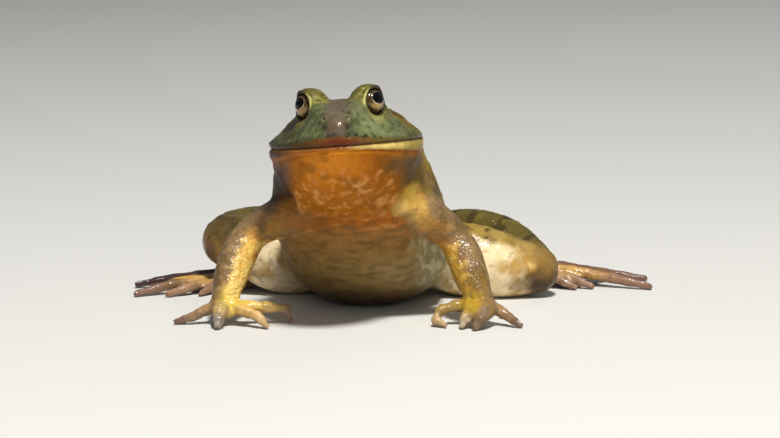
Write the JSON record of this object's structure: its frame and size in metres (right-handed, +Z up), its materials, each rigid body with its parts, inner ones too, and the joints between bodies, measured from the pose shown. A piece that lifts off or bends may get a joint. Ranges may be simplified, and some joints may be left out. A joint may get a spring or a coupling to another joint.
{
  "type": "bullfrog",
  "caption": "Life-size still model of an adult bullfrog sitting up on spread forelegs, belly on the ground, hind legs folded and webbed feet turned out.",
  "frame": {"origin": "on the floor, midway between the extremes of the whole frog along X and along Y", "axes": "the frog faces -Y, its own left side is +X, +Z is up; X is the longest extent and Z the shortest"},
  "size_m": [0.2192, 0.16, 0.0986],
  "materials": {
    "head_skin": "wet, finely granular green skin",
    "throat_skin": "wet orange-brown throat skin",
    "trunk_skin": "wet, warty olive skin, paler on the belly",
    "upper_arm_skin": "wet ochre skin",
    "forearm_skin": "wet, finely granular ochre skin",
    "hand_skin": "wet yellow skin",
    "thigh_skin": "wet cream skin, mottled",
    "shank_skin": "wet, dark olive skin",
    "tarsus_skin": "wet, dark olive-brown skin",
    "foot_skin": "wet, dark brown skin and web",
    "eye": "clear, wet and dark",
    "tympanum_skin": "thin, smooth eardrum skin"
  },
  "bodies": {
    "root": {"head": "head_skin", "lower_jaw": "throat_skin", "trunk": "trunk_skin", "upper_arm_left": "upper_arm_skin", "upper_arm_right": "upper_arm_skin", "forearm_left": "forearm_skin", "forearm_right": "forearm_skin", "hand_left": "hand_skin", "hand_right": "hand_skin", "thigh_left": "thigh_skin", "thigh_right": "thigh_skin", "shank_left": "shank_skin", "shank_right": "shank_skin", "tarsus_left": "tarsus_skin", "tarsus_right": "tarsus_skin", "foot_left": "foot_skin", "foot_right": "foot_skin", "eye_left": "eye", "eye_right": "eye", "tympanum_left": "tympanum_skin", "tympanum_right": "tympanum_skin"}
  },
  "joints": []
}
